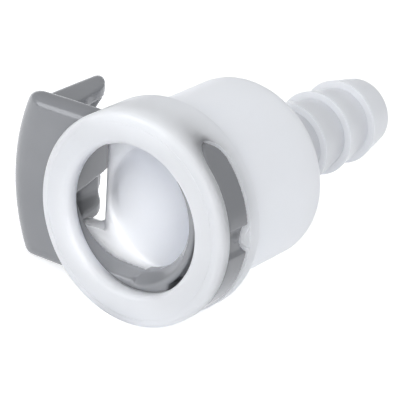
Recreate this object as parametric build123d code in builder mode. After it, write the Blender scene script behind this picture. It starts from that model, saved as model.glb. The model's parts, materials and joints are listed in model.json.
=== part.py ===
from build123d import *
import math
import os

# Plastic quick disconnect coupling: an open-flow socket body and its thumb latch.
# Sizes are millimetres. The flow axis runs along +Y from the front ring to the barb.
# The part lies on its side: the collar and one corner of the thumb pad rest on the table.

# Collar and barrel
collar_r = 10.25
collar_len = 6.2
front_bore_r = 7.2
mouth_round = 0.5
rim_round = 0.5
rim_line_inset = 0.9
rim_line_depth = 0.06
rim_line_width = 0.25
barrel_step = 1.33
barrel_r = collar_r - barrel_step
barrel_len = 12.3
barrel_end = collar_len + barrel_len
barrel_round = 1.2
collar_back_round = 0.35

# Socket and flow bore
socket_r = 5.8
socket_floor_thick = 1.5
socket_floor = barrel_end - socket_floor_thick
socket_lead = 0.4
socket_floor_round = 2.4
flow_r = 2.4

# Hose barb for 1/4 inch bore tubing
neck_r = 3.5
barb_rise = 0.75
barb_r = neck_r + barb_rise
neck_len = 7.1
barb_pitch = 4.2
barb_1 = barrel_end + neck_len
barb_2 = barb_1 + barb_pitch
barb_3 = barb_2 + barb_pitch
tip_len = 3.7
overall_len = barb_3 + tip_len
neck_round = 0.8

# Latch plate
plate_front = 1.6
plate_thick = 2.9
plate_back = plate_front + plate_thick
plate_half = 8.2
plate_round = 1.35
far_gap = 0.1
plate_far_r = collar_r - far_gap

# Channel that carries the latch plate, and the ramped pocket behind it on the pad side
plate_play = 0.15
side_play = 0.3
channel_front = plate_front - plate_play
channel_back = plate_back + plate_play
channel_half = plate_half + side_play
channel_round = 1.55
web_thick = 0.4
pocket_inner = socket_r + web_thick
pocket_half = 4.3
pocket_ramp = 2.9
nub_r = 1.1
nub_reach = 0.7
nub_len = 1.8
nub_inset = 0.15

# Elongated hole with the catch lip on its far side
travel = 1.5
catch_play = 0.3
catch_r = socket_r + catch_play
catch_lead = 1.0
catch_lead_depth = 1.5
catch_lead_half_angle = 81.0
rail_width = 1.7
hole_half = plate_half - rail_width
hole_step = 0.5
hole_end = 9.8

# Spring arms beyond the catch hoop
hoop_thick = 1.6
hoop_outer_r = catch_r + hoop_thick
arm_thick = 1.6
arm_inner_r = plate_far_r - arm_thick
arm_inner_half = plate_half - arm_thick
slit_end = 3.6
arm_gap_half = 1.25

# Thumb pad and the hood behind it
pad_reach = 16.15
tail_flare = 0.3
pad_tail_reach = pad_reach + tail_flare
pad_crown_r = 20.5
pad_corner_round = 3.0
pad_front_round = 2.75
hood_half = 6.65
hood_end = 15.0
tail_round = 1.2
hood_corner_round = 1.9
hood_edge_round = 1.5
hood_wall = 1.9
fin_thick = 1.15
notch_half = 3.9
notch_depth = 2.0
notch_round = 1.2
hood_inner_round = 0.15
hood_under = 11.3
# Underside of the hood: rise above its flat part, and distance from the tail
under_1 = (0.15, 8.0)
under_2 = (0.5, 5.9)
under_3 = (0.95, 3.6)
under_4 = (1.7, 2.3)
under_5 = (3.4, 0.6)
# Rib under the hood: half width, and its edge as distance from the axis and from the front
rib_half = 1.8
rib_1 = (9.85, 4.6)
rib_2 = (11.75, 12.6)
rib_root = 1.0
# Extra length for cutting and trimming shapes
over = 2.0
trim = 0.05

# How the part lies: the pad corner is turned down until it touches the table
crown_centre = pad_reach - pad_crown_r
corner_z = plate_half - pad_corner_round
corner_arc = pad_tail_reach - crown_centre - pad_corner_round
corner_x = crown_centre + math.sqrt(corner_arc**2 - corner_z**2)
rest_height = collar_r - pad_corner_round
lean = math.hypot(corner_x, corner_z)
roll = math.atan2(corner_x, corner_z) - math.acos(rest_height / lean)
pad_way = Vector(-math.cos(roll), 0, -math.sin(roll))
side_way = Vector(-math.sin(roll), 0, math.cos(roll))
flow_way = Vector(0, 1, 0)

# Working planes: across the flow, lengthwise through the pad, and facing the pad
across = Plane(origin=(0, 0, 0), x_dir=pad_way, z_dir=flow_way)
lengthwise = Plane(origin=(0, 0, 0), x_dir=pad_way, z_dir=side_way * -1)
facing = Plane(origin=(0, 0, 0), x_dir=side_way, z_dir=pad_way)

with BuildPart() as body:
    # Collar, barrel, neck and barb turned in one piece
    with BuildSketch(lengthwise) as turned:
        with BuildLine():
            Polyline(
                (front_bore_r, 0),
                (collar_r, 0),
                (collar_r, collar_len),
                (barrel_r, collar_len),
                (barrel_r, barrel_end),
                (neck_r, barrel_end),
                (neck_r, barb_1),
                (barb_r, barb_1),
                (neck_r, barb_2),
                (barb_r, barb_2),
                (neck_r, barb_3),
                (barb_r, barb_3),
                (neck_r, overall_len),
                (flow_r, overall_len),
                (flow_r, socket_floor),
                (socket_r, socket_floor),
                (socket_r, channel_back),
                (front_bore_r, channel_back),
                close=True,
            )
        make_face()
        corners = turned.vertices()
        fillet(corners.sort_by_distance((front_bore_r, 0))[0], mouth_round)
        fillet(turned.vertices().sort_by_distance((collar_r, 0))[0], rim_round)
        fillet(turned.vertices().sort_by_distance((collar_r, collar_len))[0], collar_back_round)
        fillet(turned.vertices().sort_by_distance((barrel_r, barrel_end))[0], barrel_round)
        fillet(turned.vertices().sort_by_distance((neck_r, barrel_end))[0], neck_round)
        fillet(turned.vertices().sort_by_distance((socket_r, channel_back))[0], socket_lead)
        fillet(turned.vertices().sort_by_distance((socket_r, socket_floor))[0], socket_floor_round)
        fillet(turned.vertices().sort_by_distance((flow_r, socket_floor))[0], socket_lead)
    revolve(axis=Axis.Y)

    # Shallow line just inside the rim of the front face
    with BuildSketch(lengthwise):
        with Locations((collar_r - rim_line_inset, 0)):
            Rectangle(rim_line_width, rim_line_depth * 2)
    revolve(axis=Axis.Y, mode=Mode.SUBTRACT)

    # Channel right through the collar for the latch plate
    with BuildSketch(facing):
        with Locations((0, (channel_front + channel_back) / 2)):
            RectangleRounded(channel_half * 2, channel_back - channel_front, channel_round)
    extrude(amount=collar_r + over, both=True, mode=Mode.SUBTRACT)

    # Pocket through the rear band under the thumb pad, ramped out through the barrel
    with BuildSketch(lengthwise):
        with BuildLine():
            Polyline(
                (pocket_inner, channel_front + plate_thick / 2),
                (pocket_inner, collar_len),
                (pocket_inner + pocket_ramp, collar_len + pocket_ramp),
                (collar_r + over, collar_len + pocket_ramp),
                (collar_r + over, channel_front + plate_thick / 2),
                close=True,
            )
        make_face()
    extrude(amount=pocket_half, both=True, mode=Mode.SUBTRACT)

    # Nub on the rear band at the far side, between the tips of the spring arms
    with BuildSketch(facing.offset(nub_inset - collar_r)):
        with Locations((0, channel_back + nub_r - nub_reach)):
            Circle(nub_r)
    extrude(amount=nub_len)

with BuildPart() as latch:
    # Side view: the plate, and the hood with its hollowed underside
    with BuildSketch(lengthwise):
        with BuildLine():
            Polyline(
                (hood_under + under_1[0], hood_end - under_1[1]),
                (hood_under, plate_back),
                (-collar_r, plate_back),
                (-collar_r, plate_front),
                (pad_reach + over, plate_front),
                (pad_reach + over, hood_end + over),
                (hood_under + under_5[0], hood_end + over),
                (hood_under + under_5[0], hood_end - under_5[1]),
            )
            Spline(
                (hood_under + under_5[0], hood_end - under_5[1]),
                (hood_under + under_4[0], hood_end - under_4[1]),
                (hood_under + under_3[0], hood_end - under_3[1]),
                (hood_under + under_2[0], hood_end - under_2[1]),
                (hood_under + under_1[0], hood_end - under_1[1]),
                tangents=[(-1, -1), (0, -1)],
            )
        make_face()
    extrude(amount=plate_half + over, both=True)

    # Seen from the thumb: wide rounded plate, narrower hood with rounded tail corners
    with BuildSketch(facing) as thumb_view:
        with Locations((0, (plate_front + hood_end + plate_thick) / 2 - plate_thick / 4)):
            Rectangle(hood_half * 2, hood_end - plate_front - plate_thick / 2)
        fillet(thumb_view.vertices().group_by(Axis.Y)[-1], hood_corner_round)
        with Locations((0, (plate_front + plate_back) / 2)):
            RectangleRounded(plate_half * 2, plate_back - plate_front, plate_round)
        inner = thumb_view.vertices().sort_by_distance((hood_half, plate_back))[0]
        fillet(inner, hood_inner_round)
        inner = thumb_view.vertices().sort_by_distance((-hood_half, plate_back))[0]
        fillet(inner, hood_inner_round)
    extrude(amount=pad_tail_reach + over, both=True, mode=Mode.INTERSECT)

    # Crowned outer face with its large front round and rounded tail
    with BuildSketch(lengthwise) as crown:
        with BuildLine():
            Polyline(
                (crown_centre, hood_end + trim),
                (crown_centre, plate_front),
                (pad_reach, plate_front),
                (pad_reach, plate_front + pad_front_round + tail_flare),
                (pad_tail_reach, hood_end - tail_round * 1.5),
                (pad_tail_reach, hood_end + trim),
                close=True,
            )
        make_face()
        fillet(crown.vertices().sort_by_distance((pad_reach, plate_front))[0], pad_front_round)
        fillet(crown.vertices().sort_by_distance((pad_tail_reach, hood_end + trim))[0], tail_round)
    crown_axis = Axis(pad_way * crown_centre, flow_way)
    revolve(axis=crown_axis, mode=Mode.INTERSECT)

    # Seen along the flow: far end rounded, pad corners rounded
    with BuildSketch(across) as plan:
        with Locations((crown_centre, 0)):
            Circle(pad_tail_reach - crown_centre)
        with Locations((pad_tail_reach / 2, 0)):
            Rectangle(pad_tail_reach, plate_half * 2, mode=Mode.INTERSECT)
        pad_corners = plan.vertices().group_by(Axis.X)[-1]
        fillet(pad_corners, pad_corner_round)
        Circle(plate_far_r)
        Rectangle(pad_tail_reach * 2 + over, plate_half * 2, mode=Mode.INTERSECT)
    extrude(amount=hood_end + over, mode=Mode.INTERSECT)

    # Long outer edges of the hood rounded
    with BuildSketch(across.offset(plate_back)) as edges_cut:
        with Locations((pad_tail_reach / 2, 0)):
            Rectangle(pad_tail_reach + over, (hood_half + over) * 2)
        with BuildSketch(across.offset(plate_back), mode=Mode.SUBTRACT) as kept:
            with Locations((crown_centre, 0)):
                Circle(pad_tail_reach - crown_centre)
            with Locations((pad_tail_reach / 2, 0)):
                Rectangle(pad_tail_reach + over, hood_half * 2, mode=Mode.INTERSECT)
            fillet(kept.vertices().group_by(Axis.X)[-1], hood_edge_round)
    extrude(amount=hood_end, mode=Mode.SUBTRACT)

    # Hollow under the hood, leaving a fin along each side
    with BuildSketch(across.offset(plate_back)):
        with Locations(((pad_reach - hood_wall) / 2, 0)):
            Rectangle(pad_reach - hood_wall, (hood_half - fin_thick) * 2)
    extrude(amount=hood_end, mode=Mode.SUBTRACT)

    # Notch in the tail between its two rounded ends
    with BuildSketch(facing):
        with Locations((0, hood_end - notch_depth + notch_half)):
            RectangleRounded(notch_half * 2, notch_half * 2, notch_round)
    extrude(amount=pad_tail_reach + over, mode=Mode.SUBTRACT)

    # Rib under the hood, rising from the end of the hole
    with BuildSketch(lengthwise):
        with BuildLine():
            Polyline(
                (rib_1[0], plate_back - rib_root),
                rib_1,
                rib_2,
                (pad_reach - hood_wall / 2, rib_2[1]),
                (pad_reach - hood_wall / 2, plate_back - rib_root),
                close=True,
            )
        make_face()
    extrude(amount=rib_half, both=True)

    # Elongated hole
    with BuildSketch(across):
        with Locations((travel, 0)):
            Circle(catch_r)
        with Locations((hole_end - hole_half, 0)):
            Circle(hole_half)
        with Locations(((hole_step + hole_end - hole_half) / 2, 0)):
            Rectangle(hole_end - hole_half - hole_step, hole_half * 2)
    extrude(amount=plate_back, mode=Mode.SUBTRACT)

    # Slanted lead-in on the front of the catch lip
    lead_turn = 180 - catch_lead_half_angle
    lead_plane = Plane(
        origin=pad_way * travel,
        x_dir=pad_way * math.cos(math.radians(lead_turn)) + side_way * math.sin(math.radians(lead_turn)),
        z_dir=pad_way * math.sin(math.radians(lead_turn)) - side_way * math.cos(math.radians(lead_turn)),
    )
    with BuildSketch(lead_plane):
        with BuildLine():
            Polyline(
                (catch_r - catch_lead, plate_front - over / 4),
                (catch_r + catch_lead, plate_front - over / 4),
                (catch_r + catch_lead, plate_front),
                (catch_r, plate_front + catch_lead_depth),
                (catch_r - catch_lead, plate_front + catch_lead_depth),
                close=True,
            )
        make_face()
    lead_axis = Axis(pad_way * travel, flow_way)
    revolve(axis=lead_axis, revolution_arc=catch_lead_half_angle * 2, mode=Mode.SUBTRACT)

    # Slit that frees the spring arms, and the gap between their tips
    with BuildSketch(across) as slit:
        Circle(arm_inner_r)
        Rectangle(collar_r * 2, arm_inner_half * 2, mode=Mode.INTERSECT)
        with Locations((travel, 0)):
            Circle(hoop_outer_r, mode=Mode.SUBTRACT)
        with Locations((collar_r - slit_end, 0)):
            Rectangle(collar_r * 2, collar_r * 2, mode=Mode.SUBTRACT)
        with Locations((-arm_inner_r - arm_thick / 2, 0)):
            Rectangle(arm_thick * 2, arm_gap_half * 2)
    extrude(amount=plate_back + over, mode=Mode.SUBTRACT)

os.makedirs("parts", exist_ok=True)
body.part.label = "body"
latch.part.label = "latch"
export_step(body.part, "parts/body.step")
export_step(latch.part, "parts/latch.step")
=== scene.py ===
import bmesh
import bpy
import json
import math
from mathutils import Matrix, Vector


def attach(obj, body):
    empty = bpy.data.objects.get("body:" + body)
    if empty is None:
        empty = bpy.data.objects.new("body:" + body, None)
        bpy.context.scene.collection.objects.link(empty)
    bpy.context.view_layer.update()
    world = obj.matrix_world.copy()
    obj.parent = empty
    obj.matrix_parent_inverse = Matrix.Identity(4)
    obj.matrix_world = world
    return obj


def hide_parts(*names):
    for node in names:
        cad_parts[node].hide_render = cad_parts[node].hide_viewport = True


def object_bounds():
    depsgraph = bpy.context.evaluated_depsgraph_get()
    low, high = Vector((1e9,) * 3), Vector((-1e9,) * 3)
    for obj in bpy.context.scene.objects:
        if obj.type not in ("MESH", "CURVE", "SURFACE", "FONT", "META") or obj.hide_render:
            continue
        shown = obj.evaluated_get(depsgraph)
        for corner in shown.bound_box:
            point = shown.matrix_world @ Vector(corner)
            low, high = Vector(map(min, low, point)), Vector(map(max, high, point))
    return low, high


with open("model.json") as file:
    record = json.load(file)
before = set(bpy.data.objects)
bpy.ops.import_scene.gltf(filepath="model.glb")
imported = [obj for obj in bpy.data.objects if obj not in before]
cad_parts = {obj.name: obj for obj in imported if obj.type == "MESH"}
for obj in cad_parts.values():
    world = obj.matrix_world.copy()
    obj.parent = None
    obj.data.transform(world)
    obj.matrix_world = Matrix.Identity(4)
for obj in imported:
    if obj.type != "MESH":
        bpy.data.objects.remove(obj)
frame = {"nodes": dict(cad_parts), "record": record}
cad_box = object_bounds()

# The part lies on its side, turned about the flow axis until the pad corner touches the floor.
slide_way = Vector(frame["record"]["behaviour"]["joints"][0]["axis"])
ROLL = math.atan2(slide_way.z, slide_way.x)


def laid(x, y, z):
    """A vector given with the pad level, turned with the part about the flow axis."""
    return Matrix.Rotation(-ROLL, 3, "Y") @ Vector((x, y, z))


# ---------------------------------------------------------------- materials
def new_material(name):
    mat = bpy.data.materials.new(name)
    mat.use_nodes = True
    nodes = mat.node_tree.nodes
    nodes.clear()
    out = nodes.new("ShaderNodeOutputMaterial")
    shader = nodes.new("ShaderNodeBsdfPrincipled")
    mat.node_tree.links.new(shader.outputs["BSDF"], out.inputs["Surface"])
    return mat, mat.node_tree, shader


def noise(tree, scale, detail=3.0, roughness=0.5):
    coords = tree.nodes.new("ShaderNodeTexCoord")
    tex = tree.nodes.new("ShaderNodeTexNoise")
    tex.inputs["Scale"].default_value = scale
    tex.inputs["Detail"].default_value = detail
    tex.inputs["Roughness"].default_value = roughness
    tree.links.new(coords.outputs["Object"], tex.inputs["Vector"])
    return tex.outputs["Fac"]


def ramp(tree, source, low, high, lo_pos=0.35, hi_pos=0.65):
    node = tree.nodes.new("ShaderNodeValToRGB")
    node.color_ramp.elements[0].position = lo_pos
    node.color_ramp.elements[1].position = hi_pos
    node.color_ramp.elements[0].color = low
    node.color_ramp.elements[1].color = high
    tree.links.new(source, node.inputs["Fac"])
    return node.outputs["Color"]


def span(tree, source, low, high):
    node = tree.nodes.new("ShaderNodeMapRange")
    node.inputs["To Min"].default_value = low
    node.inputs["To Max"].default_value = high
    tree.links.new(source, node.inputs["Value"])
    return node.outputs["Result"]


def white_plastic():
    mat, tree, shader = new_material("natural_white_plastic")
    cloud = noise(tree, 140.0, 2.0)
    colour = ramp(tree, cloud, (0.90, 0.92, 0.985, 1), (0.915, 0.935, 0.995, 1))
    tree.links.new(colour, shader.inputs["Base Color"])
    tree.links.new(span(tree, noise(tree, 900.0), 0.30, 0.42), shader.inputs["Roughness"])
    bump = tree.nodes.new("ShaderNodeBump")
    bump.inputs["Strength"].default_value = 0.05
    bump.inputs["Distance"].default_value = 0.00004
    tree.links.new(noise(tree, 2600.0, 4.0), bump.inputs["Height"])
    tree.links.new(bump.outputs["Normal"], shader.inputs["Normal"])
    shader.inputs["Subsurface Weight"].default_value = 1.0
    shader.inputs["Subsurface Radius"].default_value = (1.0, 1.0, 1.0)
    shader.inputs["Subsurface Scale"].default_value = 0.007
    shader.inputs["IOR"].default_value = 1.48
    return mat


def grey_plastic():
    mat, tree, shader = new_material("grey_latch_plastic")
    cloud = noise(tree, 160.0, 2.0)
    colour = ramp(tree, cloud, (0.225, 0.228, 0.234, 1), (0.24, 0.243, 0.249, 1))
    tree.links.new(colour, shader.inputs["Base Color"])
    tree.links.new(span(tree, noise(tree, 1200.0), 0.16, 0.20), shader.inputs["Roughness"])
    bump = tree.nodes.new("ShaderNodeBump")
    bump.inputs["Strength"].default_value = 0.03
    bump.inputs["Distance"].default_value = 0.00004
    tree.links.new(noise(tree, 2200.0, 4.0), bump.inputs["Height"])
    tree.links.new(bump.outputs["Normal"], shader.inputs["Normal"])
    shader.inputs["IOR"].default_value = 1.5
    return mat


def floor_paper():
    mat, tree, shader = new_material("pale_floor")
    shader.inputs["Roughness"].default_value = 0.9
    shader.inputs["Specular IOR Level"].default_value = 0.1
    colour = ramp(tree, noise(tree, 30.0), (0.90, 0.90, 0.905, 1), (0.92, 0.92, 0.925, 1))
    tree.links.new(colour, shader.inputs["Base Color"])
    path = tree.nodes.new("ShaderNodeLightPath")
    seen = tree.nodes.new("ShaderNodeMath")
    seen.operation = "MAXIMUM"
    tree.links.new(path.outputs["Is Camera Ray"], seen.inputs[0])
    tree.links.new(path.outputs["Is Glossy Ray"], seen.inputs[1])
    glow = tree.nodes.new("ShaderNodeMath")
    glow.operation = "MULTIPLY"
    glow.inputs[1].default_value = 0.55
    tree.links.new(seen.outputs[0], glow.inputs[0])
    light = tree.nodes.new("ShaderNodeEmission")
    tree.links.new(glow.outputs[0], light.inputs["Strength"])
    both = tree.nodes.new("ShaderNodeAddShader")
    tree.links.new(shader.outputs["BSDF"], both.inputs[0])
    tree.links.new(light.outputs["Emission"], both.inputs[1])
    out = [n for n in tree.nodes if n.type == "OUTPUT_MATERIAL"][0]
    tree.links.new(both.outputs[0], out.inputs["Surface"])
    return mat


white = white_plastic()
grey = grey_plastic()
for node_name, material in (("body", white), ("latch", grey)):
    obj = frame["nodes"][node_name]
    obj.data.materials.clear()
    obj.data.materials.append(material)


# ---------------------------------------------------------------- latch moulding
def applied(obj):
    """Applies the object's modifiers and returns the resulting mesh."""
    graph = bpy.context.evaluated_depsgraph_get()
    mesh = bpy.data.meshes.new_from_object(obj.evaluated_get(graph))
    obj.modifiers.clear()
    return mesh


def smoothed(obj, rounds, share=None):
    """Relaxes the surface, everywhere or by the share that a function gives each point."""
    smooth = obj.modifiers.new("smooth", "SMOOTH")
    smooth.factor = 0.5
    smooth.iterations = rounds
    if share:
        group = obj.vertex_groups.new(name="share")
        level_x = laid(1, 0, 0)
        for vertex in obj.data.vertices:
            weight = share(vertex.co.dot(level_x), vertex.co.y)
            if weight > 0:
                group.add([vertex.index], weight, "REPLACE")
        smooth.vertex_group = "share"
    obj.data = applied(obj)
    obj.vertex_groups.clear()


def step_up(value, start, end):
    """0 up to start, 1 from end on, and a straight line between them."""
    return min(1.0, max(0.0, (value - start) / (end - start)))


def bridge(work):
    """The recessed tongue between the tips of the spring arms, cut round the body's nub."""
    nub_y = 0.00505
    clear_r = 0.00125
    front = 0.00175
    back = 0.00435
    half_z = 0.0014
    inner_r = 0.0085
    outer_r = 0.0097
    bead_r = 0.00042
    bead_place = laid(0.00965, 0.0030, 0.0003)
    steps = 12

    arc_half = math.acos((nub_y - back) / clear_r)
    outline = [(back, -half_z), (front, -half_z), (front, half_z), (back, half_z)]
    for i in range(steps + 1):
        turn = arc_half * (1 - 2 * i / steps)
        outline.append((nub_y - clear_r * math.cos(turn), clear_r * math.sin(turn)))
    rings = []
    for radius in (inner_r, outer_r):
        ring = []
        for y, z in outline:
            x = math.sqrt(radius * radius - z * z)
            ring.append(work.verts.new(laid(x, y, z)))
        rings.append(ring)
    count = len(outline)
    for i in range(count):
        j = (i + 1) % count
        work.faces.new((rings[0][i], rings[0][j], rings[1][j], rings[1][i]))
    work.faces.new(rings[0][::-1])
    work.faces.new(rings[1])
    bead = bmesh.ops.create_icosphere(work, subdivisions=3, radius=bead_r)
    bmesh.ops.transform(work, matrix=Matrix.Translation(bead_place), verts=bead["verts"])


def pad_share(x, y):
    """The pad's corners, ahead of the hood."""
    return step_up(-x, 0.0100, 0.0120) * step_up(0.0060 - y, 0, 0.0012)


def tail_share(x, y):
    """The end of the hood."""
    return step_up(y, 0.0108, 0.0125)


# The moulding copies the CAD latch, adds the tongue and softens the edges
weld_gap = 0.000002
voxel = 0.00013
all_rounds = 14
pad_rounds = 60
tail_rounds = 25
latch_mesh = frame["nodes"]["latch"].data.copy()
latch = bpy.data.objects.new("latch_moulding", latch_mesh)
bpy.context.collection.objects.link(latch)
work = bmesh.new()
work.from_mesh(latch_mesh)
bmesh.ops.remove_doubles(work, verts=work.verts, dist=weld_gap)
bridge(work)
bmesh.ops.recalc_face_normals(work, faces=work.faces)
work.to_mesh(latch_mesh)
work.free()
remesh = latch.modifiers.new("remesh", "REMESH")
remesh.mode = "VOXEL"
remesh.voxel_size = voxel
latch.data = applied(latch)
smoothed(latch, all_rounds)
smoothed(latch, pad_rounds, pad_share)
smoothed(latch, tail_rounds, tail_share)
latch.data.materials.clear()
latch.data.materials.append(grey)
for face in latch.data.polygons:
    face.use_smooth = True
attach(latch, "latch")
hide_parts("latch")

# ---------------------------------------------------------------- floor
low = cad_box[0][2]
half = 0.6
floor_mesh = bpy.data.meshes.new("floor")
floor_mesh.from_pydata(
    [(-half, -half, low), (half, -half, low), (half, half, low), (-half, half, low)],
    [],
    [(0, 1, 2, 3)],
)
floor = bpy.data.objects.new("floor", floor_mesh)
bpy.context.collection.objects.link(floor)
floor_mesh.materials.append(floor_paper())


# ---------------------------------------------------------------- light
lamp_colour = (0.94, 0.96, 1.0)
lamp_target = Vector((0, 0.008, 0))


def soft_lamp(name, place, size, power):
    data = bpy.data.lights.new(name, "AREA")
    data.shape = "DISK"
    data.size = size
    data.energy = power
    data.color = lamp_colour
    lamp = bpy.data.objects.new(name, data)
    lamp.location = place
    aim = lamp_target - Vector(place)
    lamp.rotation_euler = aim.to_track_quat("-Z", "Y").to_euler()
    bpy.context.collection.objects.link(lamp)


soft_lamp("top_lamp", (0.05, 0.05, 0.45), 0.35, 0.35)
soft_lamp("left_lamp", (-0.28, -0.34, 0.17), 0.26, 0.80)
soft_lamp("front_lamp", (0.24, -0.40, 0.19), 0.20, 0.80)

# A narrow lamp in line with the camera reaches into the deep bore
toward_camera = laid(0.53131, -0.75160, 0.39092)
bore_lamp_distance = 0.35
mouth = Vector((0, 0, 0))
spot_data = bpy.data.lights.new("bore_lamp", "SPOT")
spot_data.energy = 4.2
spot_data.spot_size = math.radians(2.3)
spot_data.spot_blend = 1.0
spot_data.shadow_soft_size = 0.002
spot = bpy.data.objects.new("bore_lamp", spot_data)
spot.location = mouth + toward_camera * bore_lamp_distance
spot.rotation_euler = (mouth - spot.location).to_track_quat("-Z", "Y").to_euler()
bpy.context.collection.objects.link(spot)

world = bpy.data.worlds.new("studio")
bpy.context.scene.world = world
world.use_nodes = True
tree = world.node_tree
tree.nodes.clear()
out = tree.nodes.new("ShaderNodeOutputWorld")
back = tree.nodes.new("ShaderNodeBackground")
back.inputs["Color"].default_value = (0.945, 0.965, 1.0, 1)
path = tree.nodes.new("ShaderNodeLightPath")
level = tree.nodes.new("ShaderNodeMapRange")
# 0 is the light on the object, 1 is the background that the camera sees
level.inputs["To Min"].default_value = 0.53
level.inputs["To Max"].default_value = 1.10
tree.links.new(path.outputs["Is Camera Ray"], level.inputs["Value"])
tree.links.new(level.outputs["Result"], back.inputs["Strength"])
tree.links.new(back.outputs["Background"], out.inputs["Surface"])

# ---------------------------------------------------------------- camera
camera_data = bpy.data.cameras.new("camera")
camera_data.sensor_width = 36.0
camera_data.lens = 247.2
camera_data.clip_end = 5.0
camera = bpy.data.objects.new("camera", camera_data)
right = laid(0.80214, 0.59475, 0.05328)
up = laid(-0.27254, 0.28526, 0.91888)
place = laid(0.1362, -0.1817, 0.0989)
turn = Matrix((right, up, toward_camera)).transposed().to_4x4()
camera.matrix_world = Matrix.Translation(place) @ turn
bpy.context.collection.objects.link(camera)
bpy.context.scene.camera = camera
bpy.context.scene.view_settings.view_transform = "Standard"
